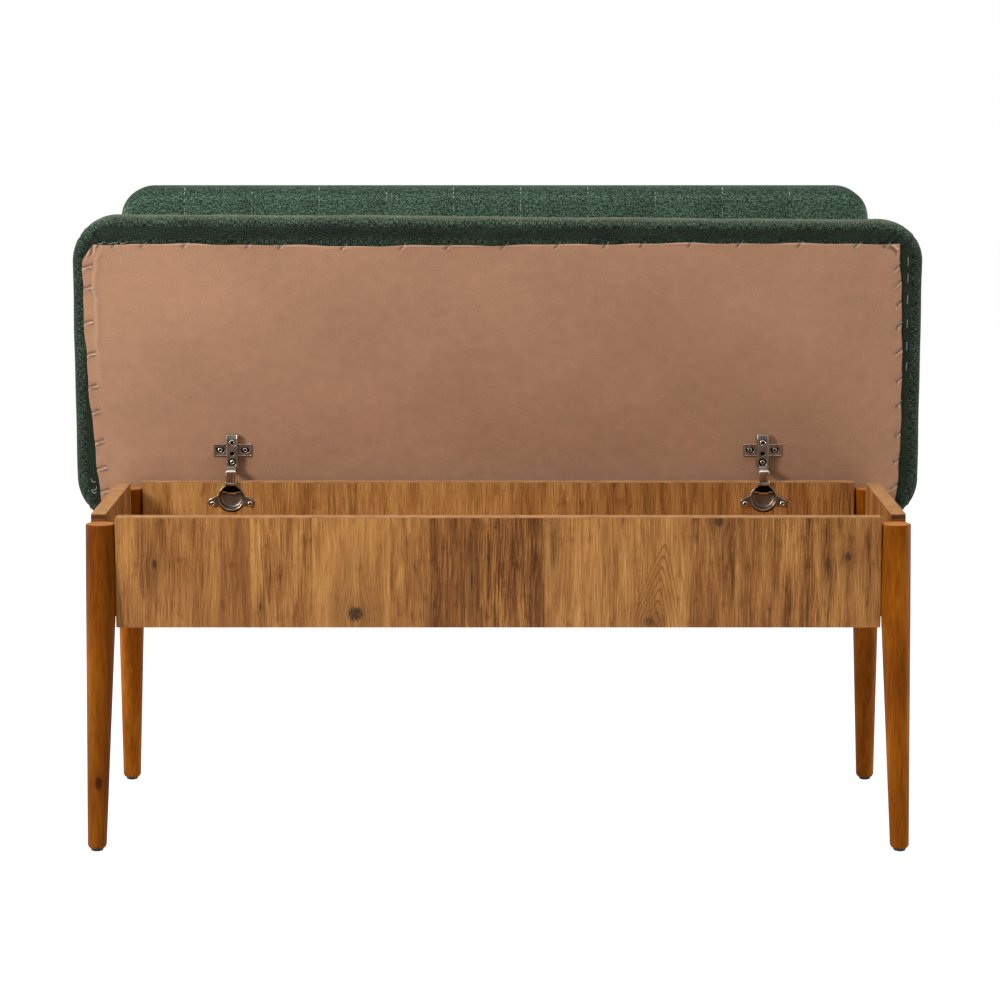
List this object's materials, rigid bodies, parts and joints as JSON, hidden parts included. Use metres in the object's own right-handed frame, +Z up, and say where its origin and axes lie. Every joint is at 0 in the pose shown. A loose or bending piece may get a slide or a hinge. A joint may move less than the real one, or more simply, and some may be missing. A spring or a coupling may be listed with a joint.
{
  "type": "storage bench",
  "caption": "Dining bench with turned wooden legs, a shallow storage box, a padded seat lid on concealed hinges and a channelled backrest on steel bars.",
  "frame": {"origin": "centre of the object's own box on the floor plane, under the four legs, with the lid open", "axes": "+X along the bench to the right as seen from the front, +Y towards the backrest, +Z up; the front is -Y"},
  "size_m": [1.094, 0.5098, 0.773],
  "materials": {
    "pine_board": "melamine-faced board with a vertical pine grain, satin",
    "stained_wood": "turned solid wood, orange-brown stain, satin lacquer",
    "brace_wood": "plain sawn wood",
    "hidden_board": "raw board under the upholstery",
    "foam": "soft upholstery foam",
    "seat_fabric": "green woven upholstery fabric",
    "backrest_fabric": "coarse green woven upholstery fabric with pale stitching",
    "lining": "thin beige-brown non-woven lining",
    "rear_lining": "dark non-woven lining",
    "bar_steel": "black powder coat",
    "bolts": "zinc-plated",
    "glides": "nickel-plated",
    "screws": "nickel-plated",
    "hinge_link": "bright nickel",
    "hinge_steel": "nickel-plated pressed steel"
  },
  "bodies": {
    "box": {"back_panel": "pine_board", "backrest_board": "hidden_board", "backrest_cover": "backrest_fabric", "backrest_foam": "foam", "backrest_lining": "rear_lining", "bottom_panel": "pine_board", "front_left_brace": "brace_wood", "front_left_brace_bolt": "bolts", "front_left_glide": "glides", "front_left_leg": "stained_wood", "front_panel": "pine_board", "front_right_brace": "brace_wood", "front_right_brace_bolt": "bolts", "front_right_glide": "glides", "front_right_leg": "stained_wood", "left_backrest_bar": "bar_steel", "left_cup_screw_inner": "screws", "left_cup_screw_outer": "screws", "left_hinge_cup": "hinge_steel", "left_hinge_pin": "screws", "left_lower_bolt_1": "bolts", "left_lower_bolt_2": "bolts", "left_side_panel": "pine_board", "left_upper_bolt_3": "bolts", "rear_left_brace": "brace_wood", "rear_left_brace_bolt": "bolts", "rear_left_glide": "glides", "rear_left_leg": "stained_wood", "rear_right_brace": "brace_wood", "rear_right_brace_bolt": "bolts", "rear_right_glide": "glides", "rear_right_leg": "stained_wood", "right_backrest_bar": "bar_steel", "right_cup_screw_inner": "screws", "right_cup_screw_outer": "screws", "right_hinge_cup": "hinge_steel", "right_hinge_pin": "screws", "right_lower_bolt_1": "bolts", "right_lower_bolt_2": "bolts", "right_side_panel": "pine_board", "right_upper_bolt_3": "bolts"},
    "lid": {"left_adjusting_screw": "screws", "left_clamping_screw": "screws", "left_hinge_arm": "hinge_steel", "left_hinge_plate": "hinge_steel", "left_plate_screw_inner": "screws", "left_plate_screw_outer": "screws", "right_adjusting_screw": "screws", "right_clamping_screw": "screws", "right_hinge_arm": "hinge_steel", "right_hinge_plate": "hinge_steel", "right_plate_screw_inner": "screws", "right_plate_screw_outer": "screws", "seat_board": "hidden_board", "seat_cover": "seat_fabric", "seat_foam": "foam", "seat_lining": "lining"},
    "left_link": {"left_hinge_link": "hinge_link"},
    "right_link": {"right_hinge_link": "hinge_link"}
  },
  "joints": [
    {"name": "lid_hinge", "type": "hinge", "parent": "box", "child": "lid", "pos_m": [0, 0.11244, 0.3879], "axis": [1, 0, 0], "range_deg": [0, 90]},
    {"name": "left_link_hinge", "type": "hinge", "parent": "box", "child": "left_link", "pos_m": [-0.342, 0.09874, 0.386], "axis": [1, 0, 0], "range_deg": [0, 90]},
    {"name": "right_link_hinge", "type": "hinge", "parent": "box", "child": "right_link", "pos_m": [0.342, 0.09874, 0.386], "axis": [1, 0, 0], "range_deg": [0, 90]}
  ],
  "couplings": [
    {"joint": "left_link_hinge", "follows": "lid_hinge", "ratio": 1},
    {"joint": "right_link_hinge", "follows": "lid_hinge", "ratio": 1}
  ]
}
